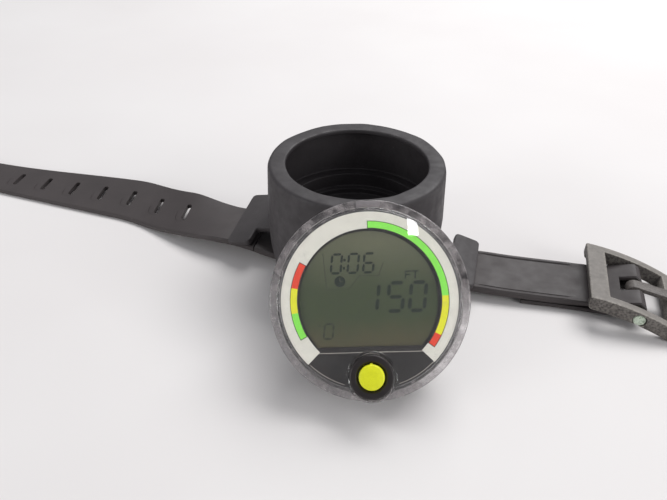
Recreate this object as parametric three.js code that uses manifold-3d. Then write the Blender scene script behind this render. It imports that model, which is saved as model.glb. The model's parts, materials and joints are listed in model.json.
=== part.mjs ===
// Wrist dive computer: a round clear-fronted computer leaning against its rubber wrist boot,
// whose strap lies spread out with a perforated tail on one side and a buckle on the other.
// Millimetres, +Z up. The origin is the middle of the boot's flat sole, and +X runs along the
// strap towards the buckle.
import * as THREE from 'three';
import { mergeVertices } from 'three/addons/utils/BufferGeometryUtils.js';
import Module from 'manifold-3d';

const wasm = await Module();
wasm.setup();

const GAP = 0.3; // running or seating clearance between neighbouring pieces
const FINE = 44; // sides of the large round pieces
const COARSE = 20; // sides of the small round pieces

// ---- boot -------------------------------------------------------------------------------
const BOOT_R = 38.2; // outer radius of the cup
const BOOT_H = 52.5; // height of the rim above the sole
const LIP_R = 30.4; // radius of the mouth
const LIP_T = 2.2; // thickness of the stretchy lip
const CUP_R = 36.3; // inner radius under the lip
const LEDGE_1 = { r: 31, depth: 23.8 }; // ledge under the computer's rear edge
const LEDGE_2 = { r: 27.8, depth: 30 }; // ledge under the battery boss
const FLOOR_DEPTH = 32.5; // depth of the cup's floor under the rim
const SOLE_HALF_X = 34; // half length of the base that stands on the wrist
const SOLE_HALF_Y = 19; // half width of the same base
const BASE_TOP = 14; // height where base and cup have merged

// T-shaped strap keepers, one on each side of the cup
const WING = { inner: 44.5, outer: 57, halfY: 17.3, t: 3, neckHalfY: 8, corner: 2.5 };
const WING_RIGHT = { z: 9.2, slope: -16, roll: 0 }; // top height at the outer edge, degrees
const WING_LEFT = { z: 13.2, slope: 14, roll: 6 };

// ---- strap ------------------------------------------------------------------------------
const STRAP_W = 28.4;
const STRAP_T = 3;
const HINGE_RIGHT = { x: 60, y: 0, z: 4.4 }; // where the buckle end bends
const HINGE_LEFT = { x: -60, y: 0, z: 8.2 }; // where the tail bends
const TAIL_T = 2.2; // thickness of the tail away from the boot
const TAIL_TIP_X = -236;
const TAIL_TIP_W = 23; // width just before the rounded tip
const TAIL_YAW = 0.085; // sideways drift of the tail per millimetre
const TAIL_SWING = { side: 13, length: 64 }; // extra drift while it leaves the boot
const TAIL_ROLL = 0.2; // greatest side tilt of the tail, rise over run
const TABLE_GAP = 0.15; // height of the tail's lower edge above the table
const SLOTS = { first: -86.5, pitch: 17.5, count: 8, length: 10.5, width: 2.6 };

// ---- buckle -----------------------------------------------------------------------------
const PIN = { x: 123.5, z: 7.5, r: 1.3 };
const FRAME = { x: 103.4, y: 0.8, z: 14.1, width: 40.2, rail: 4, wall: 6.4, length: 40.5 };
const FRAME_SLOPE = 0.03; // downward slope of the arch at its strap-side end
const FRAME_BEND = 0.0105; // bend of the arch, radians per millimetre
const FRAME_FLOOR = 0.3; // height of the rails' lowest edge
const FRAME_DRIFT = 0.13; // sideways drift of the buckle per millimetre beyond its bar
const BAR = { length: 8, t: 3.2 }; // flat cross bar over the strap
const END_BAR = { start: 34, t: 4.2 }; // cross bar that the tongue rests on
const TONGUE = { width: 5.4, t: 1.9, slotHalf: 4.3, tipX: 140.5 };
const STRAP_SIDE = 1.8; // sideways place of the strap's middle at the buckle
const FOLD_X = 77; // end of the strap's folded-back layer

// ---- computer ---------------------------------------------------------------------------
// middle of the face, degrees from level, turn about Z and turn of the dial about its own axis
const LEAN = { x: 20.2, y: -73, z: 38.6, tilt: 51.56, yaw: 9.134, spin: 4.94 };
const FACE_R = 32.8; // clear front disc
const FACE_T = 2.6; // thickness of the clear front
const INNER_R = 32; // inside of the clear housing's wall
const FLANGE = { r: 36, front: -4.8, back: -8 };
const WINDOW_R = 25.1;
const WINDOW_CHORD = -16.4; // flat lower edge of the display window
const BUTTON_Y = -26.5;
const REAR_LIP = { r: 33.6, z: -11 }; // widest part of the rear case, against the housing
const REAR_R = 32.6; // radius of the rear case's lower edge
const REAR_Z = -22;
const BOSS = { r: 24, z: -26 }; // raised round the battery hatch
const BOARD = { r: 29.4, front: -11.6, back: -12.8 };
const BOARD_SCREWS = { r: 26.4, count: 3 };
const CELL = { r: 12.25, front: -17.9, back: -22.9 };
const CAP = { r: 14.3, front: -24.4, back: -26 };
const SHOULDER_Z = -23.2; // seat of the hatch's seal
const SENSOR = { x: 18, y: 11, r: 3.2, port: 1 };

// ---- helpers ----------------------------------------------------------------------------
const deg = THREE.MathUtils.degToRad;
const v2 = (x, y) => new THREE.Vector2(x, y);

function signedVolume(geometry) {
  const p = geometry.attributes.position;
  const index = geometry.index;
  const [a, b, c] = [new THREE.Vector3(), new THREE.Vector3(), new THREE.Vector3()];
  let sum = 0;
  for (let i = 0; i < index.count; i += 3) {
    a.fromBufferAttribute(p, index.getX(i));
    b.fromBufferAttribute(p, index.getX(i + 1));
    c.fromBufferAttribute(p, index.getX(i + 2));
    sum += a.dot(b.cross(c));
  }
  return sum;
}

// Shared vertices merged, collapsed faces dropped and faces turned outwards.
function tidy(source) {
  const bare = source.clone();
  bare.deleteAttribute('normal');
  bare.deleteAttribute('uv');
  const merged = mergeVertices(bare, 1e-4);
  const faces = [];
  for (let i = 0; i < merged.index.count; i += 3) {
    const [a, b, c] = [0, 1, 2].map((k) => merged.index.getX(i + k));
    if (a !== b && b !== c && c !== a) faces.push(a, b, c);
  }
  merged.setIndex(faces);
  if (signedVolume(merged) < 0) merged.setIndex(faces.reverse());
  return merged;
}

function solid(geometry) {
  const clean = tidy(geometry);
  const mesh = new wasm.Mesh({
    numProp: 3,
    vertProperties: new Float32Array(clean.attributes.position.array),
    triVerts: new Uint32Array(clean.index.array),
  });
  return new wasm.Manifold(mesh);
}

function geometryOf(manifold) {
  const mesh = manifold.getMesh();
  const geometry = new THREE.BufferGeometry();
  geometry.setAttribute('position', new THREE.BufferAttribute(mesh.vertProperties, 3));
  geometry.setIndex(new THREE.BufferAttribute(mesh.triVerts, 1));
  return geometry;
}

function cut(base, ...tools) {
  return geometryOf(tools.reduce((body, tool) => body.subtract(solid(tool)), solid(base)));
}

function join(base, ...more) {
  return geometryOf(more.reduce((body, piece) => body.add(solid(piece)), solid(base)));
}

// Body of revolution about Z from [radius, height] pairs.
function lathe(profile, sides = FINE) {
  const points = profile.map(([r, z]) => v2(r, z));
  return new THREE.LatheGeometry(points, sides).rotateX(Math.PI / 2);
}

function ring(outer, inner, low, high, sides = FINE) {
  return lathe([[inner, low], [outer, low], [outer, high], [inner, high], [inner, low]], sides);
}

function disc(r, low, high, x = 0, y = 0, sides = COARSE) {
  return lathe([[0, low], [r, low], [r, high], [0, high]], sides).translate(x, y, 0);
}

function torus(radius, thick, z, sides = FINE) {
  return new THREE.TorusGeometry(radius, thick, 6, sides).translate(0, 0, z);
}

function box(sizeX, sizeY, low, high, x = 0, y = 0) {
  return new THREE.BoxGeometry(sizeX, sizeY, high - low).translate(x, y, (low + high) / 2);
}

// A plan outline raised from one height to another.
function slab(shape, low, high) {
  const geometry = new THREE.ExtrudeGeometry(shape, {
    depth: high - low,
    bevelEnabled: false,
    curveSegments: 6,
  });
  return geometry.translate(0, 0, low);
}

// A side outline in X and Z, extruded along Y and centred on it.
function sideSlab(shape, width) {
  const geometry = new THREE.ExtrudeGeometry(shape, {
    depth: width,
    bevelEnabled: false,
    curveSegments: 8,
  });
  return geometry.rotateX(Math.PI / 2).translate(0, width / 2, 0);
}

function moveVertices(geometry, move) {
  const p = geometry.attributes.position;
  const v = new THREE.Vector3();
  for (let i = 0; i < p.count; i += 1) {
    v.fromBufferAttribute(p, i);
    move(v);
    p.setXYZ(i, v.x, v.y, v.z);
  }
  return geometry;
}

const smooth = (t) => THREE.MathUtils.smoothstep(t, 0, 1);

function piece(name, geometry, material) {
  const mesh = new THREE.Mesh(tidy(geometry), material);
  mesh.name = name;
  return mesh;
}

// ---- materials --------------------------------------------------------------------------
function matt(color, roughness = 0.75, metalness = 0) {
  return new THREE.MeshStandardMaterial({ color, roughness, metalness });
}

const bootRubber = () => matt('#38363a', 0.7);
const strapRubber = () => matt('#4a4545', 0.65);
const bucklePlastic = () => matt('#7a7673', 0.6);
const blackPlastic = () => matt('#241f1f', 0.45);
const sealRubber = () => matt('#1c1c1e', 0.6);
const steel = () => matt('#c4c6c2', 0.3, 0.9);
const boardGreen = () => matt('#1f5a38', 0.5);
const clearPlastic = () => {
  const material = matt('#d8d4d2', 0.12);
  material.transparent = true;
  material.opacity = 0.35;
  return material;
};

// ---- boot and strap ---------------------------------------------------------------------
function cupBody() {
  const z = (depth) => BOOT_H - depth;
  return lathe([
    [0, 0.6], [SOLE_HALF_Y, 0.6], [BOOT_R - 4.4, 2.6], [BOOT_R - 1.2, 6], [BOOT_R, 14],
    [BOOT_R + 0.7, 28], [BOOT_R, z(6)], [BOOT_R, z(2.6)], [BOOT_R - 0.8, z(0.8)],
    [BOOT_R - 2.6, z(0)], [LIP_R + 1, z(0.2)], [LIP_R, z(1)], [LIP_R + 0.4, z(LIP_T)],
    [CUP_R, z(LIP_T + 0.6)], [CUP_R, z(LEDGE_1.depth)], [LEDGE_1.r, z(LEDGE_1.depth)],
    [LEDGE_1.r, z(LEDGE_2.depth)], [LEDGE_2.r, z(LEDGE_2.depth)], [LEDGE_2.r, z(FLOOR_DEPTH)],
    [0, z(FLOOR_DEPTH)],
  ]);
}

function baseBlock() {
  const shape = new THREE.Shape();
  const r = 8;
  shape.absarc(SOLE_HALF_X - r, SOLE_HALF_Y - r, r, 0, Math.PI / 2);
  shape.absarc(r - SOLE_HALF_X, SOLE_HALF_Y - r, r, Math.PI / 2, Math.PI);
  shape.absarc(r - SOLE_HALF_X, r - SOLE_HALF_Y, r, Math.PI, Math.PI * 1.5);
  shape.absarc(SOLE_HALF_X - r, r - SOLE_HALF_Y, r, Math.PI * 1.5, Math.PI * 2);
  return slab(shape, 0, BASE_TOP);
}

// T-shaped plate for the +X side: a narrow neck and a wide bar with rounded corners.
function wingPlate(place, side) {
  const { inner, outer, halfY, neckHalfY, corner, t } = WING;
  const root = BOOT_R - 5;
  const shape = new THREE.Shape();
  shape.moveTo(root, -neckHalfY);
  shape.lineTo(inner - 2, -neckHalfY);
  shape.quadraticCurveTo(inner, -neckHalfY, inner, -neckHalfY - 2);
  shape.absarc(inner + corner, corner - halfY, corner, Math.PI, Math.PI * 1.5);
  shape.absarc(outer - corner, corner - halfY, corner, Math.PI * 1.5, Math.PI * 2);
  shape.absarc(outer - corner, halfY - corner, corner, 0, Math.PI / 2);
  shape.absarc(inner + corner, halfY - corner, corner, Math.PI / 2, Math.PI);
  shape.lineTo(inner, neckHalfY + 2);
  shape.quadraticCurveTo(inner, neckHalfY, inner - 2, neckHalfY);
  shape.lineTo(root, neckHalfY);
  const plate = slab(shape, -t, 0).translate(-outer, 0, 0);
  if (side < 0) plate.scale(-1, 1, 1);
  plate.rotateY(deg(-place.slope)).rotateX(deg(place.roll));
  return plate.translate(side * outer, 0, place.z);
}

const RISE_START = -26; // from here the strap rises towards the tail's hinge

// Height of the strap's middle between the two hinges.
function strapCentreZ(x) {
  const rise = smooth((RISE_START - x) / (RISE_START - HINGE_LEFT.x));
  return HINGE_RIGHT.z + (HINGE_LEFT.z - HINGE_RIGHT.z) * rise;
}

function strapRun(from, to, thick, width) {
  const steps = 14;
  const xs = Array.from({ length: steps + 1 }, (_, i) => from + ((to - from) * i) / steps);
  const top = xs.map((x) => v2(x, strapCentreZ(x) + thick / 2));
  const bottom = xs.map((x) => v2(x, strapCentreZ(x) - thick / 2)).reverse();
  return sideSlab(new THREE.Shape([...top, ...bottom]), width);
}

function bootGeometry() {
  const body = join(cupBody(), baseBlock(), wingPlate(WING_RIGHT, 1), wingPlate(WING_LEFT, -1));
  const channel = strapRun(-WING.outer - 6, WING.outer + 6, STRAP_T + 2 * GAP, STRAP_W + 2 * GAP);
  return cut(body, channel);
}

function strapCentreGeometry() {
  const clear = STRAP_T / 2 + GAP + 0.1;
  return strapRun(HINGE_LEFT.x + clear, HINGE_RIGHT.x - clear, STRAP_T, STRAP_W);
}

const tailT = (x) => (HINGE_LEFT.x - x) / (HINGE_LEFT.x - TAIL_TIP_X);
const tailY = (x) => {
  const run = HINGE_LEFT.x - x;
  return HINGE_LEFT.y + run * TAIL_YAW + TAIL_SWING.side * smooth(run / TAIL_SWING.length);
};
const tailRoll = (x) => TAIL_ROLL * smooth(tailT(x) * 6) * (1 - smooth((tailT(x) - 0.25) * 1.6));
const tailHalf = (x) => STRAP_W / 2 - (STRAP_W - TAIL_TIP_W) * 0.5 * tailT(x) ** 2;
const tailThick = (x) => STRAP_T - (STRAP_T - TAIL_T) * smooth(tailT(x) * 8);
// Height of the middle with the tilted strap's lower edge resting on the table.
const restingZ = (x) => TABLE_GAP + tailThick(x) / 2 + tailRoll(x) * tailHalf(x);
const tailZ = (x) => restingZ(x) + (HINGE_LEFT.z - restingZ(HINGE_LEFT.x)) * (1 - smooth(tailT(x) * 3.4));

function slotHole(x) {
  const { length, width } = SLOTS;
  const path = new THREE.Path();
  path.absarc(x, (length - width) / 2, width / 2, 0, Math.PI);
  path.absarc(x, (width - length) / 2, width / 2, Math.PI, Math.PI * 2);
  return path;
}

function tailGeometry() {
  const root = HINGE_LEFT.x - 0.01;
  const tipR = TAIL_TIP_W / 2;
  const steps = 16;
  const shape = new THREE.Shape();
  const xs = Array.from({ length: steps + 1 }, (_, i) => root + ((TAIL_TIP_X + tipR - root) * i) / steps);
  shape.moveTo(root, -tailHalf(root));
  xs.slice(1).forEach((x) => shape.lineTo(x, -tailHalf(x)));
  shape.absarc(TAIL_TIP_X + tipR, 0, tipR, Math.PI * 1.5, Math.PI / 2, true);
  xs.reverse().forEach((x) => shape.lineTo(x, tailHalf(x)));
  for (let i = 0; i < SLOTS.count; i += 1) shape.holes.push(slotHole(SLOTS.first - i * SLOTS.pitch));
  const flat = slab(shape, -STRAP_T / 2, STRAP_T / 2);
  return moveVertices(flat, (v) => {
    v.z = (v.z * tailThick(v.x)) / STRAP_T + tailZ(v.x) + tailRoll(v.x) * v.y;
    v.y += tailY(v.x);
  });
}

// Sideways drift of the buckle and of the strap's loop beyond the buckle's bar.
const buckleDrift = (x) => -FRAME_DRIFT * Math.max(0, x - FRAME.x);
// Sideways place of the strap's middle, from the boot to the buckle.
const buckleEndY = (x) => {
  const share = smooth((x - HINGE_RIGHT.x) / (FRAME.x - HINGE_RIGHT.x));
  return STRAP_SIDE * share + buckleDrift(x);
};
const drifted = (geometry) => moveVertices(geometry, (v) => {
  v.y += buckleDrift(v.x);
});

// Hairpin side outline: upper layer, loop round the pin and the layer folded back below.
function buckleEndGeometry() {
  const hole = PIN.r + GAP;
  const outer = hole + 2;
  const shape = new THREE.Shape();
  const half = STRAP_T / 2;
  shape.absarc(HINGE_RIGHT.x, HINGE_RIGHT.z, half, Math.PI * 1.5, Math.PI / 2, true);
  const upperTop = [[70, 5.7], [85, 5.4], [98, 5.4], [108, 6.3], [116, 8.6]];
  upperTop.forEach(([x, z]) => shape.lineTo(x, z));
  shape.absarc(PIN.x, PIN.z, outer, Math.PI / 2, -Math.PI / 2, true);
  const lower = [
    [113, 1.4], [104, 0.3], [FOLD_X, 0.3], [FOLD_X - 0.8, 1.2], [FOLD_X, 2.1], [104, 2.1], [113, 3.4],
  ];
  lower.forEach(([x, z]) => shape.lineTo(x, z));
  shape.absarc(PIN.x, PIN.z, hole, -Math.PI / 2, Math.PI / 2, false);
  const upperUnder = [[115, 6.1], [108, 3.9], [98, 2.6], [85, 2.5], [70, 2.7]];
  upperUnder.forEach(([x, z]) => shape.lineTo(x, z));
  const strap = sideSlab(shape, STRAP_W);
  const slotStart = PIN.x - 6.5;
  const slotLength = PIN.x - slotStart + outer + 2;
  const slot = new THREE.BoxGeometry(slotLength, TONGUE.slotHalf * 2, 3 * outer);
  slot.translate(slotStart + slotLength / 2, 0, PIN.z);
  return moveVertices(cut(strap, slot), (v) => {
    v.y += buckleEndY(v.x);
  });
}

// ---- buckle -----------------------------------------------------------------------------
// Point at a distance along the arch and a depth below its top.
function archPoint(s, depth, floor = FRAME_FLOOR) {
  const slope = FRAME_SLOPE + FRAME_BEND * s;
  const x = FRAME.x + s * Math.cos(FRAME_SLOPE + (FRAME_BEND * s) / 2);
  const z = FRAME.z - s * Math.sin(FRAME_SLOPE + (FRAME_BEND * s) / 2);
  return v2(x - Math.sin(slope) * depth, Math.max(z - Math.cos(slope) * depth, floor));
}

function archSlab(from, to, depthTop, depthBottom, width, floor) {
  const steps = Math.max(2, Math.round((to - from) / 4));
  const ss = Array.from({ length: steps + 1 }, (_, i) => from + ((to - from) * i) / steps);
  const top = ss.map((s) => archPoint(s, depthTop, floor));
  const bottom = ss.map((s) => archPoint(s, depthBottom, floor)).reverse();
  return sideSlab(new THREE.Shape([...top, ...bottom]), width);
}

function buckleFrameGeometry() {
  const block = archSlab(0, FRAME.length, 0, FRAME.wall, FRAME.width);
  const inner = FRAME.width - 2 * FRAME.rail;
  const below = FRAME.wall + 6; // depth of the cutters, well under the rails
  const window = archSlab(BAR.length, END_BAR.start, -4, below, inner, -below);
  const underBar = archSlab(-3, BAR.length + 0.5, BAR.t, below, inner, -below);
  const underEnd = archSlab(END_BAR.start - 0.5, FRAME.length + 3, END_BAR.t, below, inner, -below);
  const pinHole = disc(PIN.r + 0.15, -FRAME.width, FRAME.width, 0, 0, 20);
  pinHole.rotateX(Math.PI / 2).translate(PIN.x, 0, PIN.z);
  return drifted(cut(block, window, underBar, underEnd, pinHole).translate(0, FRAME.y, 0));
}

function bucklePinGeometry() {
  const half = FRAME.width / 2 - 0.4;
  const pin = disc(PIN.r, -half, half, 0, 0, 20).rotateX(Math.PI / 2);
  return drifted(pin.translate(PIN.x, FRAME.y, PIN.z));
}

function tongueGeometry() {
  const hole = PIN.r + GAP;
  const rest = archPoint(END_BAR.start, 0);
  const barrel = ring(hole + TONGUE.t, hole, -TONGUE.width / 2, TONGUE.width / 2, 24);
  barrel.rotateX(Math.PI / 2).translate(PIN.x, 0, PIN.z);
  const top = PIN.z + hole + TONGUE.t;
  const under = rest.y + GAP;
  const shape = new THREE.Shape([
    v2(PIN.x, top - TONGUE.t), v2(rest.x + 0.6, under), v2(TONGUE.tipX, under - 1.3),
    v2(TONGUE.tipX + 0.6, under - 0.4), v2(rest.x, under + TONGUE.t), v2(PIN.x, top),
  ]);
  return drifted(join(barrel, sideSlab(shape, TONGUE.width)).translate(0, FRAME.y + 0.7, 0));
}

// ---- computer, front to back ------------------------------------------------------------
const COLLAR = { r: 8.9, recess: 8.05, top: 2.4, floor: -0.6 };
const PILLAR_R = 6.5;

function housingGeometry() {
  const shell = lathe([
    [0, 0], [FACE_R - 0.5, 0], [FACE_R, -0.5], [FACE_R, FLANGE.front + 0.8],
    [FLANGE.r - 0.6, FLANGE.front], [FLANGE.r, FLANGE.front - 0.6], [FLANGE.r, FLANGE.back],
    [INNER_R, FLANGE.back], [INNER_R, -FACE_T], [0, -FACE_T],
  ]);
  const collar = disc(COLLAR.r, -FACE_T, COLLAR.top, 0, BUTTON_Y, 36);
  const pillar = disc(PILLAR_R, FLANGE.back, -1, 0, BUTTON_Y, 36);
  const bores = [
    disc(COLLAR.recess, COLLAR.floor, COLLAR.top + 1, 0, BUTTON_Y, 36),
    disc(3.3, -2.2, 0, 0, BUTTON_Y),
    disc(1.6, FLANGE.back - 1, 0, 0, BUTTON_Y),
    disc(3, -4.4, -3, 0, BUTTON_Y),
  ];
  return cut(join(shell, collar, pillar), ...bores);
}

// Disc with its lower part cut off along a level chord.
function chordDisc(r, chord, low, high) {
  const shape = new THREE.Shape();
  const end = Math.asin(chord / r);
  shape.absarc(0, 0, r, end, Math.PI - end);
  return new THREE.ExtrudeGeometry(shape, {
    depth: high - low,
    bevelEnabled: false,
    curveSegments: Math.round(FINE * 0.65),
  }).translate(0, 0, low);
}

function dialPlateGeometry() {
  const plate = disc(INNER_R - 0.4, -3.5, -2.9, 0, 0, FINE);
  const window = chordDisc(WINDOW_R, WINDOW_CHORD, -4, -2);
  return cut(plate, window, disc(PILLAR_R + GAP, -4, -2, 0, BUTTON_Y));
}

const LCD = { r: WINDOW_R + 1.4, chord: WINDOW_CHORD - 0.7, front: -4, back: -5.8 };

function lcdHolderGeometry() {
  const plate = disc(INNER_R - 1, -7.2, -3.8, 0, 0, FINE);
  const seat = chordDisc(LCD.r + GAP, LCD.chord - GAP, -8, -3);
  return cut(plate, seat, disc(PILLAR_R + GAP, -8, -3, 0, BUTTON_Y));
}

function screwPlaces() {
  const { r, count } = BOARD_SCREWS;
  return Array.from({ length: count }, (_, i) => {
    const angle = Math.PI / 2 + (i * Math.PI * 2) / count;
    return [r * Math.cos(angle), r * Math.sin(angle)];
  });
}

function boardGeometry() {
  const holes = screwPlaces().map(([x, y]) => disc(1.3, -14, -10, x, y, 16));
  return cut(disc(BOARD.r, BOARD.back, BOARD.front, 0, 0, FINE), ...holes);
}

const CASE_SEAL = { r: 32.3, thick: 0.42, z: -9 }; // O-ring between rear case and housing

function rearCaseGeometry() {
  const floor = -20.4;
  const shell = lathe([
    [0, -15.6], [15.2, -15.6], [15.2, floor], [30, floor], [30, FLANGE.back - GAP],
    [REAR_LIP.r, FLANGE.back - GAP], [REAR_LIP.r, REAR_LIP.z], [REAR_R, REAR_Z + 1.2],
    [REAR_R - 1.2, REAR_Z], [BOSS.r, REAR_Z],
    [BOSS.r - 1, BOSS.z], [14.6, BOSS.z], [14.6, SHOULDER_Z], [13.2, SHOULDER_Z], [13.2, -17],
    [0, -17],
  ]);
  const bosses = screwPlaces().map(([x, y]) => disc(2.6, floor - 0.5, BOARD.back - GAP, x, y, 16));
  const pilots = screwPlaces().map(([x, y]) => disc(1.25, -18.6, -12, x, y, 16));
  const groove = ring(CASE_SEAL.r + 0.75, CASE_SEAL.r - 0.75, -9.6, FLANGE.back);
  const port = disc(SENSOR.port, -30, floor + 1, SENSOR.x, SENSOR.y, 16);
  return cut(join(shell, ...bosses), ...pilots, groove, port);
}

function batteryCapGeometry() {
  const coinSlot = box(18, 2, CAP.back - 1, CAP.back + 0.9);
  return cut(disc(CAP.r, CAP.back, CAP.front, 0, 0, 40), coinSlot);
}

function sideContactGeometry() {
  const shape = new THREE.Shape();
  shape.absarc(0, 0, 12.9, -0.3, 0.3);
  shape.absarc(0, 0, 12.55, 0.3, -0.3, true);
  return slab(shape, -22, -18);
}

function screwGeometry() {
  return lathe([[0, -17.6], [0.95, -17.6], [0.95, -11.3], [1.9, -11.3], [1.9, -10.2], [0, -10.2]], 16);
}

// ---- button -----------------------------------------------------------------------------
function bezelGeometry() {
  return ring(7.75, 4.9, -0.3, 2.9, 36);
}

function capGeometry() {
  return lathe([[0, 0.9], [4.5, 0.9], [4.5, 3.5], [3.9, 4.1], [0, 4.1]], 32);
}

function stemGeometry() {
  return lathe([
    [0, 0.6], [1.3, 0.6], [1.3, -8.1], [0.9, -8.1], [0.9, -9.1], [1.3, -9.1], [1.3, -9.6], [0, -9.6],
  ], 20);
}

function springGeometry() {
  const turns = 3;
  const stepsPerTurn = 8;
  const points = Array.from({ length: turns * stepsPerTurn + 1 }, (_, i) => {
    const angle = (i / stepsPerTurn) * Math.PI * 2;
    return new THREE.Vector3(2.5 * Math.cos(angle), 2.5 * Math.sin(angle), -1.6 + (i / stepsPerTurn) * 0.7);
  });
  const wire = new THREE.Shape();
  wire.absarc(0, 0, 0.22, 0, Math.PI * 2);
  return new THREE.ExtrudeGeometry(wire, {
    steps: turns * stepsPerTurn,
    curveSegments: 3,
    extrudePath: new THREE.CatmullRomCurve3(points),
  });
}

function clipGeometry() {
  const shape = new THREE.Shape();
  const open = 0.5;
  shape.absarc(0, 0, 2.7, open, Math.PI * 2 - open);
  shape.absarc(0, 0, 1.25, Math.PI * 2 - open, open, true);
  return slab(shape, -8.9, -8.35);
}

function switchGeometry() {
  return join(box(5.4, 5.4, -11.4, -10.9), disc(1.6, -11, -10.6, 0, 0, 16));
}

// ---- assembly ---------------------------------------------------------------------------
function bootGroup() {
  const group = new THREE.Group();
  group.add(
    piece('boot', bootGeometry(), bootRubber()),
    piece('strap_centre', strapCentreGeometry(), strapRubber()),
    piece('strap_tail', tailGeometry(), strapRubber()),
    piece('strap_buckle_end', buckleEndGeometry(), strapRubber()),
    piece('buckle_frame', buckleFrameGeometry(), bucklePlastic()),
    piece('buckle_pin', bucklePinGeometry(), steel()),
    piece('buckle_tongue', tongueGeometry(), bucklePlastic()),
  );
  return group;
}

function buttonGroup() {
  const group = new THREE.Group();
  group.add(
    piece('button_bezel', bezelGeometry(), blackPlastic()),
    piece('button_cap', capGeometry(), matt('#e8ec2f', 0.4)),
    piece('button_stem', stemGeometry(), steel()),
    piece('button_spring', springGeometry(), steel()),
    piece('button_oring', torus(2.15, 0.55, -3.7, 20), sealRubber()),
    piece('button_clip', clipGeometry(), steel()),
    piece('push_switch', switchGeometry(), blackPlastic()),
  );
  group.position.y = BUTTON_Y;
  return group;
}

function computerGroup() {
  const group = new THREE.Group();
  group.add(
    piece('front_housing', housingGeometry(), clearPlastic()),
    piece('dial_plate', dialPlateGeometry(), matt('#cdc8be', 0.5)),
    piece('lcd_panel', chordDisc(LCD.r, LCD.chord, LCD.back, LCD.front), matt('#4c5339', 0.2)),
    piece('lcd_holder', lcdHolderGeometry(), blackPlastic()),
    piece('zebra_strip_upper', box(24, 2, -11.3, -6.1, 0, 19.5), matt('#8a4a52', 0.8)),
    piece('zebra_strip_lower', box(24, 2, -11.3, -6.1, 0, -14), matt('#8a4a52', 0.8)),
    piece('circuit_board', boardGeometry(), boardGreen()),
    piece('processor_chip', box(10, 10, -14.6, -13.1, -7, 5), blackPlastic()),
    piece('depth_sensor', disc(SENSOR.r, -19.9, -13.1, SENSOR.x, SENSOR.y), steel()),
    piece('piezo_sounder', disc(6.5, -20, -19.2, -22, 5), matt('#b08d4a', 0.35, 0.8)),
    piece('case_oring', torus(CASE_SEAL.r, CASE_SEAL.thick, CASE_SEAL.z), sealRubber()),
    piece('rear_case', rearCaseGeometry(), blackPlastic()),
    piece('battery_contact_front', disc(4, -17.6, -17.3), steel()),
    piece('battery_contact_side', sideContactGeometry(), steel()),
    piece('battery_cell', disc(CELL.r, CELL.back, CELL.front, 0, 0, 36), steel()),
    piece('battery_cap_oring', torus(13.85, 0.42, -23.8, 36), sealRubber()),
    piece('battery_cap', batteryCapGeometry(), blackPlastic()),
  );
  screwPlaces().forEach(([x, y], i) => {
    const screw = piece(`board_screw_${i + 1}`, screwGeometry(), steel());
    screw.position.set(x, y, 0);
    group.add(screw);
  });
  group.add(buttonGroup());
  group.rotation.set(deg(LEAN.tilt), 0, deg(LEAN.spin));
  const placed = new THREE.Group();
  placed.add(group);
  placed.position.set(LEAN.x, LEAN.y, LEAN.z);
  placed.rotation.z = deg(LEAN.yaw);
  return placed;
}

const diveComputer = new THREE.Group();
diveComputer.add(bootGroup(), computerGroup());

export default diveComputer;
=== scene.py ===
"""Looks of a wrist dive computer: its rubber boot, strap and buckle, and the clear-fronted computer
that leans against the boot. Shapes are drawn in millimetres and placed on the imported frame."""

import json
import math

import bmesh
import bpy
from mathutils import Matrix, Vector, noise


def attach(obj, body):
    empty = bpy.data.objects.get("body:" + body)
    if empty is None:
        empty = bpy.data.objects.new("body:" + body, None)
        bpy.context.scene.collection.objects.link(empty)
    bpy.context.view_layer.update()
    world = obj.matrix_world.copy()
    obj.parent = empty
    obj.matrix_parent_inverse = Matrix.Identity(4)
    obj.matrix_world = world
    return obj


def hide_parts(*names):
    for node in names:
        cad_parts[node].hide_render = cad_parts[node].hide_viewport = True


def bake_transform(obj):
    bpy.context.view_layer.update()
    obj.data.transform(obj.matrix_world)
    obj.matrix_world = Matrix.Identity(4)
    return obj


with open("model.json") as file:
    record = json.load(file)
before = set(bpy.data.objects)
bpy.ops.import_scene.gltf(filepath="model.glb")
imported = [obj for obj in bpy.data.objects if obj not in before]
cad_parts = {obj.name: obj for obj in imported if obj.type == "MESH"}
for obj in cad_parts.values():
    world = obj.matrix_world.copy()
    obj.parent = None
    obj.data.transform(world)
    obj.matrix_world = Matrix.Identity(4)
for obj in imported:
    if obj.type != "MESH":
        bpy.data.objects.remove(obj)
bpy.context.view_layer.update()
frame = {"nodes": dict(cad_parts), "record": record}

MM = 0.001
JOINTS = {joint["name"]: joint for joint in frame["record"]["behaviour"]["joints"]}

# ---- boot and strap, millimetres ----------------------------------------------------------
BOOT_R = 38.2
BOOT_H = 52.5
LIP_R = 30.4
CUP_R = 36.3
LEDGE_1 = (31.0, 23.8)  # radius and depth under the rim
LEDGE_2 = (27.8, 30.0)
FLOOR_DEPTH = 32.5
BASE = (34.0, 19.0, 8.0, 14.0)  # half length, half width, corner radius, height
WING = {"inner": 44.5, "outer": 56.4, "half_y": 17.3, "t": 3.0, "neck": 8.0, "corner": 2.5}
WING_RIGHT = {"z": 9.2, "slope": -16.0, "roll": 0.0, "yaw": 0.0, "y": -0.6, "side": 1}
WING_LEFT = {"z": 12.9, "slope": 14.0, "roll": 9.0, "yaw": -3.5, "y": 3.4, "side": -1}
STRAP_W = 28.4
STRAP_T = 3.0
STRAP_PLAY = 0.3  # gap between the strap and the boot all round
RIGHT_X, RIGHT_Z = 60.0, 4.4  # where the buckle end bends
LEFT_X, LEFT_Z = -60.0, 8.2  # where the tail bends
TAIL_TIP_X = -236.0
TAIL_TIP_W = 23.0
TAIL_T = 2.2
TAIL_YAW = 0.085
TAIL_SWING = (13.0, 64.0)  # extra sideways drift and the length that it takes
TAIL_ROLL = 0.2
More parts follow.
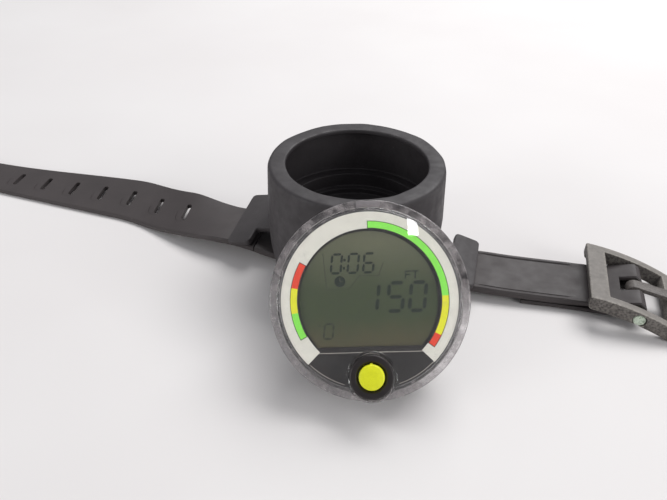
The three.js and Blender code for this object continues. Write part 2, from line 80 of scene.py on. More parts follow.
TABLE_GAP = 0.15
ROOT_SHIFT = 2.6  # how far the strap lies to one side under the left keeper
ROOT_LENGTH = 45.0  # where that shift has faded out along the tail
SHIFT_FROM, RISE_FROM = 20.0, 26.0  # how far left of the middle the strap starts to shift and to rise
SLOTS = {"first": -86.5, "pitch": 17.5, "count": 8, "length": 10.5, "width": 2.6}
PAD_SLOPE = 0.06  # the pad round each slot is pressed deeper towards its near end
MIDDLE_HALF = 44.4  # half length of the strap's middle piece

# ---- buckle, millimetres ------------------------------------------------------------------
PIN_X, PIN_Z, PIN_R = 123.5, 7.5, 1.3
BUCKLE_START = (103.4, 14.1)  # x and z of the arch's top at its strap side
BUCKLE_Y = 0.8
STRAP_SIDE = 1.8  # sideways place of the strap's middle at the buckle
BUCKLE_W = 40.2
RAIL = 4.0
WALL = 6.4
BUCKLE_LENGTH = 40.5
ARCH_SLOPE = 0.03
ARCH_BEND = 0.0105
BUCKLE_DRIFT = 0.13  # sideways drift per millimetre beyond the bar
BAR_LENGTH, BAR_T = 8.0, 3.2
END_BAR_START, END_BAR_T = 34.0, 4.2
TONGUE_W, TONGUE_T, TONGUE_TIP_X = 5.4, 1.9, 140.5
TONGUE_Y = BUCKLE_Y + 0.7
TONGUE_SLOT = (117.0, 4.3)  # start and half width of the gap in the strap's loop
LAYER = 2.0  # thickness of the strap where it loops round the pin

# ---- computer, millimetres, measured from the middle of its clear face --------------------
FACE_R, FACE_T = 32.8, 2.6
INNER_R = 32.0
RIM_R, RIM_Z = 32.4, -1.2  # outside and behind these the clear plastic is frosted
FLANGE_R, FLANGE_FRONT, FLANGE_BACK = 36.0, -4.8, -8.0
WINDOW_R, WINDOW_CHORD = 25.1, -16.4
DIAL_Z = -2.9
LCD_Z = -4.0
RING_R = 31.36
DIAL_R = 31.6
PRINT_BACK = DIAL_Z - 0.18  # the printed shapes sink this far into the dial's base
BUTTON_Y = -26.5
COLLAR_R, RECESS_R, BEZEL_R = 8.9, 8.05, 7.75  # round the button
REAR_R, REAR_Z = 32.6, -22.0
REAR_LIP = (33.6, -11.0)
BOSS_R, BOSS_Z = 24.0, -26.0
CAP_R, CAP_FRONT = 14.3, -24.4
HATCH_DEPTH = 25.0  # the hatch's joint is this far behind the face

FACING = -Vector(JOINTS["button_press"]["axis"])
FACE_CENTRE = Vector(JOINTS["battery_cap_turn"]["pos_m"]) + FACING * HATCH_DEPTH * MM
SPIN = math.radians(4.94)  # turn of the dial about its own axis
LEAN = (Matrix.Rotation(math.atan2(FACING.x, -FACING.y), 4, "Z")
        @ Matrix.Rotation(math.acos(FACING.z), 4, "X") @ Matrix.Rotation(SPIN, 4, "Z"))
IN_FRAME = Matrix.Scale(MM, 4)
ON_COMPUTER = Matrix.Translation(FACE_CENTRE) @ LEAN @ IN_FRAME


def smooth(t):
    """Eases from 0 to 1 as t does, and stays there beyond."""
    t = min(1.0, max(0.0, t))
    return t * t * (3 - 2 * t)


# ---- mesh helpers -------------------------------------------------------------------------
def make(name, points, faces):
    """A new object in the scene from its points and faces."""
    mesh = bpy.data.meshes.new(name)
    mesh.from_pydata([tuple(p) for p in points], [], faces)
    piece = bpy.data.objects.new(name, mesh)
    bpy.context.scene.collection.objects.link(piece)
    return piece


def soften(corners, closed=True, steps=4):
    """An outline from (x, y, radius) corners, each one rounded."""
    outline = []
    count = len(corners)
    for i, (x, y, radius) in enumerate(corners):
        here = Vector((x, y))
        if radius == 0 or (not closed and i in (0, count - 1)):
            outline.append(here)
            continue
        back = Vector(corners[i - 1][:2]) - here
        ahead = Vector(corners[(i + 1) % count][:2]) - here
        reach = radius / math.tan(back.angle(ahead) / 2)
        reach = min(reach, back.length * 0.49, ahead.length * 0.49)
        a = here + back.normalized() * reach
        b = here + ahead.normalized() * reach
        for k in range(steps + 1):
            t = k / steps
            outline.append(a * (1 - t) ** 2 + here * (2 * t * (1 - t)) + b * t * t)
    return outline


def arc(radius, start, end, steps, x=0.0, y=0.0):
    """Points on an arc, angles in degrees anticlockwise from +X."""
    angles = [math.radians(start + (end - start) * k / steps) for k in range(steps + 1)]
    return [Vector((x + radius * math.cos(a), y + radius * math.sin(a))) for a in angles]


def lathe(name, profile, sides=144):
    """A body turned about Z; the profile's ends are both on the axis, or it closes on itself."""
    points, rings, faces = [], [], []
    for r, z in profile:
        start = len(points)
        if r < 1e-6:
            points.append((0, 0, z))
            rings.append([start] * sides)
        else:
            turns = [2 * math.pi * k / sides for k in range(sides)]
            points += [(r * math.cos(a), r * math.sin(a), z) for a in turns]
            rings.append([start + k for k in range(sides)])
    pairs = list(zip(rings, rings[1:]))
    if profile[0][0] > 1e-6:
        pairs.append((rings[-1], rings[0]))
    for low, high in pairs:
        for k in range(sides):
            n = (k + 1) % sides
            face = list(dict.fromkeys((low[k], low[n], high[n], high[k])))
            if len(face) > 2:
                faces.append(face)
    return make(name, points, faces)


def loft(name, sections):
    """A closed skin through rings of points, all with the same count."""
    count = len(sections[0])
    points = [p for section in sections for p in section]
    faces = [tuple(reversed(range(count))), tuple(range(len(points) - count, len(points)))]
    for i in range(len(sections) - 1):
        a = i * count
        for k in range(count):
            n = (k + 1) % count
            faces.append((a + k, a + n, a + count + n, a + count + k))
    return make(name, points, faces)


def slab(name, outline, low, high):
    """An outline in plan raised from one height to another."""
    return loft(name, [[(x, y, z) for x, y in outline] for z in (low, high)])


def block(name, low, high):
    """A box between two corners."""
    plan = [(low[0], low[1]), (high[0], low[1]), (high[0], high[1]), (low[0], high[1])]
    return slab(name, plan, low[2], high[2])


def rod(name, radius, low, high, x=0.0, y=0.0, sides=64):
    """An upright cylinder."""
    return slab(name, arc(radius, 0, 360 - 360 / sides, sides - 1, x, y), low, high)


def bake(piece):
    """Makes the modified shape the piece's own mesh."""
    bpy.context.view_layer.update()
    graph = bpy.context.evaluated_depsgraph_get()
    shaped = bpy.data.meshes.new_from_object(piece.evaluated_get(graph))
    piece.modifiers.clear()
    piece.data = shaped
    return piece


def outward(piece):
    """Turns every face of a closed piece outward."""
    mesh = bmesh.new()
    mesh.from_mesh(piece.data)
    bmesh.ops.recalc_face_normals(mesh, faces=mesh.faces)
    if mesh.calc_volume(signed=True) < 0:
        bmesh.ops.reverse_faces(mesh, faces=mesh.faces)
    mesh.to_mesh(piece.data)
    mesh.free()
    return piece


def combine(base, how, *tools):
    """Joins or cuts base with the tools, which are used up."""
    outward(base)
    for tool in tools:
        outward(tool)
        modifier = base.modifiers.new(how, "BOOLEAN")
        modifier.operation = how
        modifier.solver = "EXACT"
        modifier.object = tool
        bake(base)
        bpy.data.objects.remove(tool)
    return base


def merge(base, *others):
    """Adds the other meshes to base's own as they are; each stays a closed body."""
    mesh = bmesh.new()
    mesh.from_mesh(outward(base).data)
    for other in others:
        mesh.from_mesh(outward(other).data)
        bpy.data.objects.remove(other)
    mesh.to_mesh(base.data)
    mesh.free()
    return base


def bevel(piece, width, segments=3, angle=30):
    """Rounds the edges that turn by more than angle degrees."""
    modifier = outward(piece).modifiers.new("bevel", "BEVEL")
    modifier.width = width
    modifier.segments = segments
    modifier.limit_method = "ANGLE"
    modifier.angle_limit = math.radians(angle)
    return bake(piece)


def slices(piece, axis, step):
    """Cuts a mesh across an axis, so that it can bend."""
    mesh = bmesh.new()
    mesh.from_mesh(piece.data)
    places = [v.co[axis] for v in mesh.verts]
    normal = Vector([float(k == axis) for k in range(3)])
    low, high = min(places), max(places)
    for k in range(1, int((high - low) / step) + 1):
        whole = mesh.verts[:] + mesh.edges[:] + mesh.faces[:]
        bmesh.ops.bisect_plane(mesh, geom=whole, plane_co=normal * (low + k * step), plane_no=normal)
    mesh.to_mesh(piece.data)
    mesh.free()
    return piece


def move(piece, change):
    """Moves each vertex to what change returns for it."""
    for vertex in piece.data.vertices:
        vertex.co = change(vertex.co)
    piece.data.update()
    return piece


def shifted(piece, shift):
    piece.data.transform(Matrix.Translation(shift))
    return piece


def turned(piece, axis, degrees, shift=(0, 0, 0)):
    """Turns a piece about an axis through the origin, then shifts it."""
    piece.data.transform(Matrix.Translation(shift) @ Matrix.Rotation(math.radians(degrees), 4, axis))
    return piece


def wobble(piece, size, amount):
    """Slight unevenness of a hand-worn moulding."""
    normals = [Vector(v.normal) for v in piece.data.vertices]
    for vertex, normal in zip(piece.data.vertices, normals):
        vertex.co += normal * noise.noise(vertex.co / size) * amount
    return piece


def mark_edges(piece, spread=2):
    """Stores how much each vertex stands out as the attribute wear, and how far it faces up as the
    attribute top, which moulded uses for a painted lit top, both from 0 to 1."""
    mesh = bmesh.new()
    mesh.from_mesh(piece.data)
    mesh.normal_update()
    worn = []
    for vertex in mesh.verts:
        reach = [(vertex.co - e.other_vert(vertex).co).normalized() for e in vertex.link_edges]
        worn.append(max(0.0, sum(r.dot(vertex.normal) for r in reach) / max(len(reach), 1)))
    mesh.verts.ensure_lookup_table()
    for _ in range(spread):
        around = [[e.other_vert(v).index for e in v.link_edges] for v in mesh.verts]
        worn = [max([w] + [worn[k] * 0.6 for k in near]) for w, near in zip(worn, around)]
    mesh.free()
    wear = piece.data.attributes.new("wear", "FLOAT", "POINT")
    wear.data.foreach_set("value", [min(1.0, w * 3) for w in worn])
    top = piece.data.attributes.new("top", "FLOAT", "POINT")
    top.data.foreach_set("value", [smooth((v.normal.z - 0.35) / 0.4) for v in piece.data.vertices])
    return piece


def settle(piece, body, look, at=IN_FRAME, nodes=(), slot=None, sharp=35, turn_faces=True):
    """Puts a finished piece on its body, with its look, in place of its CAD nodes. A piece merged
    from several closed bodies already has its faces outward and keeps them."""
    if turn_faces:
        outward(piece)
    piece.data.transform(at)
    for face in piece.data.polygons:
        face.use_smooth = True
    piece.data.set_sharp_from_angle(angle=math.radians(sharp))
    if look and not piece.data.materials:
        piece.data.materials.append(look)
    if body:
        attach(piece, body)
    if nodes:
        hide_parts(*nodes)
    return piece


# ---- material helpers ---------------------------------------------------------------------
def srgb(red, green, blue):
    """A screen colour from 0 to 255 as the linear colour that shaders take."""
    def linear(value):
        v = value / 255
        return v / 12.92 if v <= 0.04045 else ((v + 0.055) / 1.055) ** 2.4
    return (linear(red), linear(green), linear(blue), 1.0)


def tinted(colour, factor):
    return tuple(min(1.0, c * factor) for c in colour[:3]) + (1.0,)


class Look:
    """Short calls that build one node material, with coordinates in millimetres."""

    def __init__(self, name, on_computer=False):
        self.material = bpy.data.materials.new(name)
        self.material.use_nodes = True
        self.tree = self.material.node_tree
        self.tree.nodes.clear()
        self.output = self.node("OutputMaterial")
        coordinates = self.node("TexCoord").outputs["Object"]
        placed = self.node("Mapping", {"vector_type": "TEXTURE"}, Vector=coordinates,
                           Scale=(MM, MM, MM))
        if on_computer:
            placed.inputs["Location"].default_value = FACE_CENTRE
            placed.inputs["Rotation"].default_value = LEAN.to_euler()
        self.mm = placed.outputs[0]

    def node(self, kind, settings=None, **inputs):
        """A shader node with its inputs set or linked; n0 and n1 are inputs by number."""
        made = self.tree.nodes.new("ShaderNode" + kind)
        for key, value in (settings or {}).items():
            setattr(made, key, value)
        for key, value in inputs.items():
            numbered = key[0] == "n" and key[1:].isdigit()
            socket = made.inputs[int(key[1:]) if numbered else key.replace("_", " ")]
            if isinstance(value, bpy.types.NodeSocket):
                self.tree.links.new(value, socket)
            else:
                socket.default_value = value
        return made

    def noise(self, size, detail=4.0, stretch=None, offset=0.0):
        """Noise from 0 to 1 with blotches of about size millimetres."""
        vector = self.mm
        if stretch or offset:
            mapped = self.node("Mapping", Vector=vector, Scale=stretch or (1, 1, 1))
            mapped.inputs["Location"].default_value = (offset, offset, offset)
            vector = mapped.outputs[0]
        return self.node("TexNoise", Vector=vector, Scale=1 / size, Detail=detail).outputs["Fac"]

    def maths(self, operation, a, b=0.0, clamp=False):
        return self.node("Math", {"operation": operation, "use_clamp": clamp}, n0=a, n1=b).outputs[0]

    def spread(self, value, low, high, to_low=0.0, to_high=1.0):
        """Maps value from one range to another, clamped."""
        made = self.node("MapRange", Value=value)
        ends = {"From Min": low, "From Max": high, "To Min": to_low, "To Max": to_high}
        for key, number in ends.items():
            made.inputs[key].default_value = number
        return made.outputs[0]

    def mix(self, amount, a, b, blend="MIX"):
        return self.node("MixRGB", {"blend_type": blend}, Fac=amount, Color1=a, Color2=b).outputs[0]

    def bump(self, height, depth):
        """Bump from a height between 0 and 1, depth in millimetres."""
        return self.node("Bump", Height=height, Strength=1.0, Distance=depth * MM).outputs[0]

    def principled(self, colour, roughness, normal=None, metallic=0.0, **fixed):
        shader = self.node("BsdfPrincipled", Base_Color=colour, Roughness=roughness,
                           Metallic=metallic, **fixed)
        if normal:
            self.tree.links.new(normal, shader.inputs["Normal"])
        return shader.outputs[0]

    def finish(self, shader):
        self.tree.links.new(shader, self.output.inputs["Surface"])
        return self.material


def moulded(name, colour, rough=(0.5, 0.7), variation=0.2, patch=9.0, grain=0.35, depth=0.03,
            speck=None, edge=None, painted_top_light=None, metallic=0.0, on_computer=False, **fixed):
    """A moulded or cast surface: blotchy colour, fine grain, and optionally specks, worn edges
    and a paler top, painted light where light from above falls on upward faces."""
    look = Look(name, on_computer)
    blotch = look.spread(look.noise(patch), 0.3, 0.7)
    fine = look.noise(grain, 6.0)
    tone = look.mix(blotch, tinted(colour, 1 - variation), tinted(colour, 1 + variation))
    tone = look.mix(look.spread(fine, 0.35, 0.65, 0.0, 0.35), tone, tinted(colour, 0.7))
    # Painted light: faces that point up get a paler colour, standing in for the light that falls on them from
    # above.
    if painted_top_light:
        level = look.node("Attribute", {"attribute_name": "top"}).outputs["Fac"]
        tone = look.mix(level, tone, look.mix(blotch, tinted(painted_top_light, 0.85), tinted(painted_top_light, 1.15)))
    if speck:
        speck_colour, size, threshold = speck
        dots = look.spread(look.noise(size, 2.0, offset=7.0), threshold, threshold + 0.04)
        tone = look.mix(dots, tone, speck_colour)
    if edge:
        edge_colour, amount = edge
        worn = look.node("Attribute", {"attribute_name": "wear"}).outputs["Fac"]
        broken = look.spread(look.noise(0.9, 5.0, offset=3.0), 0.35, 0.6)
        worn = look.maths("MULTIPLY", look.maths("MULTIPLY", worn, broken), amount, clamp=True)
        tone = look.mix(worn, tone, edge_colour)
    roughness = look.spread(look.noise(patch * 0.4, 3.0, offset=11.0), 0.3, 0.7, *rough)
    normal = look.bump(fine, depth)
    return look.finish(look.principled(tone, roughness, normal, metallic, **fixed))


def see_through(name, tint, rough, haze, haze_colour, scratches=0.0):
    """Clear moulded plastic: lamps shine through it, with a hazy, scuffed share of its surface."""
    look = Look(name, True)
    scuff = look.spread(look.noise(3.2, 5.0, stretch=(1.0, 1.0, 0.4)), 0.36, 0.7)
    normal = look.bump(look.noise(6.0, 2.0), 0.01)
    glass = look.principled(tint, rough, normal, Transmission_Weight=1.0, IOR=1.49)
    film = look.principled(haze_colour, 0.35, normal)
    share = look.maths("MULTIPLY", scuff, haze)
    if scratches:
        line = look.maths("ABSOLUTE", look.maths("SUBTRACT", look.noise(7.0, 1.0, offset=2.0), 0.5))
        hair = look.spread(line, 0.0, 0.004, scratches, 0.0)
        patches = look.spread(look.noise(9.0, 2.0, offset=23.0), 0.56, 0.66)
        share = look.maths("ADD", share, look.maths("MULTIPLY", hair, patches), clamp=True)
    body = look.node("MixShader", n0=share, n1=glass, n2=film).outputs[0]
    shadow = look.node("LightPath").outputs["Is Shadow Ray"]
    clear = look.node("BsdfTransparent", Color=tint).outputs[0]
    return look.finish(look.node("MixShader", n0=shadow, n1=body, n2=clear).outputs[0])


def lcd_look():
    """Olive liquid-crystal glass: greener in its middle, brown towards its lower edge."""
    look = Look("lcd_glass", True)
    height = look.node("SeparateXYZ", Vector=look.mm).outputs["Y"]
    drift = look.maths("MULTIPLY", look.maths("SUBTRACT", look.noise(12.0, 2.0), 0.5), 9.0)
    place = look.maths("ADD", height, drift)
    lower = look.mix(look.spread(place, -16, -6), srgb(80, 74, 52), srgb(60, 68, 44))
    upper = look.mix(look.spread(place, 4, 20), lower, srgb(98, 98, 78))
    tone = look.mix(look.spread(look.noise(0.25, 4.0), 0.3, 0.7, 0.0, 0.12), upper, srgb(40, 44, 34))
    return look.finish(look.principled(tone, 0.28, look.bump(look.noise(6.0), 0.01)))


def printed(name, colour):
    """Flat ink or foil on the computer's dial."""
    return moulded(name, colour, rough=(0.4, 0.5), variation=0.04, patch=3.0, grain=0.2, depth=0.004,
                   on_computer=True)


def make_looks():
    boot_dark = srgb(56, 52, 54)
    strap_grey = srgb(66, 60, 60)
    return {
        "boot": moulded("boot_rubber", boot_dark, (0.5, 0.72), 0.16, 11.0, 0.4, 0.03,
                        speck=(srgb(120, 114, 106), 0.5, 0.74)),
        "keeper": moulded("keeper_rubber", srgb(64, 60, 61), (0.55, 0.72), 0.12, 9.0, 0.4, 0.03),
        "strap": moulded("strap_rubber", strap_grey, (0.5, 0.66), 0.1, 16.0, 0.3, 0.02,
                         speck=(srgb(140, 134, 128), 0.35, 0.79)),
        # The buckle's paler top is painted light from above; its darker sides are its base colour.
        "buckle": moulded("buckle_plastic", srgb(70, 65, 63), (0.5, 0.7), 0.16, 2.6, 0.3, 0.012,
                          speck=(srgb(120, 114, 106), 0.4, 0.8), edge=(srgb(184, 178, 168), 0.9),
                          painted_top_light=srgb(122, 117, 112)),
        "tongue": moulded("tongue_plastic", srgb(84, 78, 76), (0.45, 0.6), 0.12, 2.0, 0.3, 0.03,
                          edge=(srgb(170, 164, 156), 0.6)),
        "pin": moulded("corroded_pin", srgb(196, 208, 190), (0.5, 0.8), 0.2, 1.2, 0.3, 0.06,
                       speck=(srgb(120, 136, 112), 0.5, 0.6)),
        "window": see_through("clear_window", (0.97, 0.98, 0.97, 1), 0.0, 0.01, srgb(200, 200, 200), 0.1),
        "rim": see_through("clear_rim", (0.88, 0.86, 0.87, 1), 0.14, 0.6, srgb(168, 162, 162)),
        "silver": printed("silver_print", srgb(224, 219, 211)),
        "green": printed("green_print", srgb(138, 232, 84)),
        "yellow": printed("yellow_print", srgb(232, 228, 36)),
        "red": printed("red_print", srgb(232, 66, 40)),
        "black_print": printed("black_print", srgb(30, 22, 22)),
        "pale_line": printed("pale_line_print", srgb(170, 162, 156)),
        "lcd": lcd_look(),
        "segment": printed("lcd_segment_ink", srgb(14, 24, 16)),
        "faint": printed("lcd_faint_ink", srgb(40, 44, 30)),
        "black": moulded("black_plastic", srgb(34, 28, 28), (0.35, 0.5), 0.2, 4.0, 0.3, 0.02,
                         on_computer=True),
        "case": moulded("case_plastic", srgb(40, 38, 40), (0.45, 0.62), 0.18, 6.0, 0.25, 0.04,
                        on_computer=True),
        "button": moulded("button_yellow", srgb(236, 240, 30), (0.4, 0.55), 0.05, 2.0, 0.3, 0.02,
                          on_computer=True),
        "tab": moulded("tab_plastic", srgb(142, 136, 138), (0.35, 0.5), 0.12, 1.5, 0.3, 0.02,
                       on_computer=True),
        "seal": moulded("seal_rubber", srgb(30, 30, 32), (0.4, 0.6), 0.2, 2.0, 0.2, 0.01, on_computer=True),
        "steel": moulded("steel", srgb(190, 192, 188), (0.25, 0.4), 0.08, 3.0, 0.2, 0.01, metallic=1.0,
                         on_computer=True),
        "brass": moulded("brass", srgb(190, 150, 84), (0.3, 0.45), 0.1, 3.0, 0.2, 0.01, metallic=1.0,
                         on_computer=True),
        "board": moulded("board_laminate", srgb(26, 88, 56), (0.4, 0.55), 0.2, 1.6, 0.25, 0.02,
                         on_computer=True),
        "contact": moulded("contact_rubber", srgb(150, 84, 92), (0.6, 0.75), 0.25, 0.8, 0.2, 0.02,
                           on_computer=True),
    }


# ---- boot ---------------------------------------------------------------------------------
def build_cup(looks):
    def under(depth):
        return BOOT_H - depth

    ledge_r, ledge_depth = LEDGE_1
    inner_r, inner_depth = LEDGE_2
    corners = [
        (0, 0.6, 0), (19, 0.6, 2), (BOOT_R - 4.4, 2.6, 2), (BOOT_R - 1.2, 6, 4), (BOOT_R, 14, 10),
        (BOOT_R + 0.7, 28, 20), (BOOT_R - 0.1, under(3.6), 8), (BOOT_R - 0.3, under(0.1), 2.2),
        (LIP_R, under(0.1), 1.1), (LIP_R + 0.2, under(2.2), 0.6), (CUP_R, under(3.2), 1.2),
        (CUP_R, under(ledge_depth), 0.8), (ledge_r, under(ledge_depth - 0.3), 0.5),
        (ledge_r, under(inner_depth), 0.6), (inner_r, under(inner_depth - 0.3), 0.5),
        (inner_r, under(FLOOR_DEPTH), 0.8), (0, under(FLOOR_DEPTH), 0),
    ]
    cup = lathe("boot_cup", soften(corners, closed=False, steps=6), 168)
    wobble(cup, 9.0, 0.25)
    return settle(cup, "boot_body", looks["boot"], nodes=["boot"], slot="boot_rubber")


def wing_outline():
    """Plan of a T-shaped keeper, its stem rooted inside the cup's wall."""
    w = WING
    root = BOOT_R - 5
    upper = [(root, w["neck"], 0), (w["inner"], w["neck"], 2), (w["inner"], w["half_y"], w["corner"]),
             (w["outer"], w["half_y"], w["corner"])]
    lower = [(x, -y, r) for x, y, r in reversed(upper)]
    return soften(upper + lower, steps=5)


def wing(place):
    """One strap keeper, tilted as it lies."""
    plate = slab("wing", wing_outline(), -WING["t"], 0)
    bevel(plate, 0.7, 3)
    shifted(plate, (-WING["outer"], 0, 0))
    if place["side"] < 0:
        plate.data.transform(Matrix.Scale(-1, 4, (1, 0, 0)))
    turned(plate, "Y", -place["slope"])
    turned(plate, "X", place["roll"])
    return turned(plate, "Z", place["yaw"], (place["side"] * WING["outer"], place["y"], place["z"]))


def strap_centre_z(x):
    """Height of the strap's middle between its two bends."""
    return RIGHT_Z + (LEFT_Z - RIGHT_Z) * smooth((-x - RISE_FROM) / (-LEFT_X - RISE_FROM))


def strap_centre_y(x):
    """Sideways place of the strap's middle between its two bends."""
    return ROOT_SHIFT * smooth((-x - SHIFT_FROM) / (-LEFT_X - SHIFT_FROM))


def strap_channel():
    """The room that the strap needs through the boot's base."""
    half_y, half_t = STRAP_W / 2 + STRAP_PLAY, STRAP_T / 2 + STRAP_PLAY
    sections = []
    for x in range(-64, 65, 4):
        y, z = strap_centre_y(x), strap_centre_z(x)
        sections.append([(x, y - half_y, z - half_t), (x, y + half_y, z - half_t),
                         (x, y + half_y, z + half_t), (x, y - half_y, z + half_t)])
    return loft("channel", sections)


def build_keepers(looks):
    half_x, half_y, corner, height = BASE
    plan = soften([(half_x, half_y, corner), (-half_x, half_y, corner),
                   (-half_x, -half_y, corner), (half_x, -half_y, corner)], steps=6)
    base = bevel(slab("boot_keepers", plan, 0.0, height), 0.8, 3)
    combine(base, "UNION", wing(WING_RIGHT), wing(WING_LEFT))
    combine(base, "DIFFERENCE", strap_channel(), rod("core", BOOT_R - 1.5, 3.5, 30, sides=96))
    return settle(base, "boot_body", looks["keeper"], nodes=["boot"], slot="boot_rubber")


# ---- strap --------------------------------------------------------------------------------
def strap_ring(width, thick, rib=0.0, across=18):
    """Cross-section of the strap as (y, z) points; rib raises its two top borders."""
    half, ht = width / 2, thick / 2
    r, border = min(0.6, ht * 0.5), half - 3.0
    top = [(half - r, ht + rib), (half - 1.5, ht + rib), (half - 1.9, ht + rib * 0.4),
           (half - 2.2, ht - rib * 0.9), (half - 2.7, ht - rib * 0.9), (border, ht)]
    side = [(half, -ht + r), (half, ht + rib - r)]
    middle = [border * (1 - 2 * k / across) for k in range(1, across)]
    ring = side + top + [(y, ht) for y in middle]
    ring += [(-y, z) for y, z in reversed(top)] + [(-half, ht + rib - r), (-half, -ht + r)]
    bottom = [(half - r) * (-1 + 2 * k / across) for k in range(across + 1)]
    return ring + [(y, -ht) for y in bottom]


def tail_t(x):
    """Share of the tail's length, from its bend to its tip."""
    return (LEFT_X - x) / (LEFT_X - TAIL_TIP_X)


def tail_half(x):
    return STRAP_W / 2 - (STRAP_W - TAIL_TIP_W) * 0.5 * max(0.0, tail_t(x)) ** 2


def tail_shape(v):
    """Lays the flat tail out: drifting back, with its lower edge sinking to the table."""
    if v.x > LEFT_X:
        return Vector((v.x, v.y + strap_centre_y(v.x), v.z + strap_centre_z(v.x)))
    t, run = tail_t(v.x), LEFT_X - v.x
    roll = TAIL_ROLL * smooth(6 * t) * (1 - smooth((t - 0.25) * 1.6))
    thick = STRAP_T - (STRAP_T - TAIL_T) * smooth(t * 8)
    resting = TABLE_GAP + thick / 2 + roll * tail_half(v.x)
    lift = (LEFT_Z - TABLE_GAP - STRAP_T / 2) * (1 - smooth(t * 3.4))
    side, length = TAIL_SWING
    y = run * TAIL_YAW + side * smooth(run / length) + ROOT_SHIFT * (1 - smooth(run / ROOT_LENGTH))
    return Vector((v.x, v.y + y, v.z * thick / STRAP_T + resting + lift + roll * v.y))


def slot_outline(x, y, length, width):
    """Plan of a round-ended slot that lies across the strap."""
    half, r = length / 2, width / 2
    corners = [(x - r, y - half, r), (x + r, y - half, r), (x + r, y + half, r), (x - r, y + half, r)]
    return soften(corners, steps=5)


def build_tail(looks):
    """The flat strip with its round tip, its slots and the pad pressed round each, then laid out."""
    sections = []
    tip_r = TAIL_TIP_W / 2
    first, last, count = -MIDDLE_HALF - 0.6, TAIL_TIP_X + 0.3, 130
    for k in range(count + 1):
        x = first + (last - first) * k / count
        half = tail_half(x)
        past = (TAIL_TIP_X + tip_r - x) / tip_r
        if past > 0:
            half *= math.sqrt(max(0.0, 1 - min(1.0, past) ** 2)) + 0.02
        sections.append([(x, y * half / (STRAP_W / 2), z) for y, z in strap_ring(STRAP_W, STRAP_T)])
    tail = loft("strap_tail_piece", sections)
    for i in range(SLOTS["count"]):
        x = SLOTS["first"] - i * SLOTS["pitch"]
        pad = slab("pad", slot_outline(x - 1.4, -0.4, SLOTS["length"] + 3, 7.0), 1.5, 4)
        move(pad, lambda v: Vector((v.x, v.y, v.z + PAD_SLOPE * v.y)))
        hole = slab("hole", slot_outline(x, 0, SLOTS["length"], SLOTS["width"]), -3, 3)
        combine(tail, "DIFFERENCE", pad, hole)
    slices(tail, 0, 3.0)
    move(tail, tail_shape)
    settle(tail, None, looks["strap"], nodes=["strap_tail"], slot="strap_rubber")
    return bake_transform(tail)


def build_middle(looks):
    sections = []
    for k in range(31):
        x = MIDDLE_HALF * (k / 15 - 1)
        shift, z = strap_centre_y(x), strap_centre_z(x)
        sections.append([(x, y + shift, z + h) for y, h in strap_ring(STRAP_W, STRAP_T)])
    middle = loft("strap_middle_piece", sections)
    return settle(middle, "boot_body", looks["strap"], nodes=["strap_centre"], slot="strap_rubber")


def buckle_drift(x):
    """Sideways drift of the buckle and of the strap's loop beyond the buckle's bar."""
    return -BUCKLE_DRIFT * max(0.0, x - BUCKLE_START[0])


def catmull(points, steps):
    """A smooth line through tuples of numbers."""
    line = []
    padded = [points[0]] + list(points) + [points[-1]]
    for a, b, c, d in zip(padded, padded[1:], padded[2:], padded[3:]):
        for k in range(steps):
            t = k / steps
            line.append(tuple(
                0.5 * (2 * q + (r - p) * t + (2 * p - 5 * q + 4 * r - s) * t * t
                       + (3 * q - p - 3 * r + s) * t ** 3)
                for p, q, r, s in zip(a, b, c, d)))
    return line + [tuple(points[-1])]


def buckle_end_path():
    """Middle line of the strap's buckle end as (x, z, thickness, rib height)."""
    upper = [(45, 4.4, 3, 0.0), (56, 4.4, 3, 0.2), (62, 4.3, 3, 0.35), (70, 4.1, 2.9, 0.35),
             (85, 3.85, 2.9, 0.35), (96, 3.9, 2.8, 0.3), (102, 4.3, 2.6, 0.0), (108, 5.1, 2.3, 0),
             (116, 7.6, LAYER, 0)]
    loop = [(x, z, LAYER, 0) for x, z in arc(PIN_R + 1.3, 95, -95, 8, PIN_X, PIN_Z)]
    lower = [(113, 2.4, 1.9, 0), (104, 1.25, 1.8, 0), (90, 1.2, 1.8, 0), (77, 1.2, 1.8, 0)]
    return catmull(upper + loop + lower, 5)


def build_buckle_end(looks):
    """The strap's two layers and, beside the tongue, the two bands of the loop that joins them."""
    path = buckle_end_path()
    sections = []
    for i, (x, z, thick, rib) in enumerate(path):
        before, after = path[max(i - 1, 0)], path[min(i + 1, len(path) - 1)]
        along = Vector((after[0] - before[0], after[1] - before[1])).normalized()
        up = Vector((-along.y, along.x))
        sections.append((x, z, up, thick, max(rib, 0)))

    def strip(name, part, width, y_middle):
        rings = []
        for x, z, up, thick, rib in part:
            ring = strap_ring(width, thick, rib)
            rings.append([(x + up.x * h, y + y_middle, z + up.y * h) for y, h in ring])
        return loft(name, rings)

    start, half = TONGUE_SLOT
    loop = [i for i, section in enumerate(sections) if section[0] > start]
    band = STRAP_W / 2 - half
    strap = strip("strap_buckle_piece", sections[:loop[0] + 1], STRAP_W, 0)
    lower = strip("lower", sections[loop[-1]:], STRAP_W, 0)
    round_pin = sections[loop[0]:loop[-1] + 1]
    bands = [strip("band", round_pin, band, sign * (half + band / 2)) for sign in (-1, 1)]
    merge(strap, lower, *bands)

    def to_the_side(v):
        shift = STRAP_SIDE * smooth((v.x - RIGHT_X) / (BUCKLE_START[0] - RIGHT_X))
        return Vector((v.x, v.y + shift + buckle_drift(v.x), v.z))

    move(strap, to_the_side)
    settle(strap, None, looks["strap"], nodes=["strap_buckle_end"], slot="strap_rubber", turn_faces=False)
    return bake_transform(strap)


# ---- buckle -------------------------------------------------------------------------------
def arch(s, y, depth):
    """Point of the bent buckle from its distance along the arch and depth under its top."""
    slope = ARCH_SLOPE + ARCH_BEND * s
    half = ARCH_SLOPE + ARCH_BEND * s / 2
    x = BUCKLE_START[0] + s * math.cos(half) - math.sin(slope) * depth
    z = BUCKLE_START[1] - s * math.sin(half) - math.cos(slope) * depth
    return Vector((x, y + BUCKLE_Y + buckle_drift(x), max(z, 0.3)))


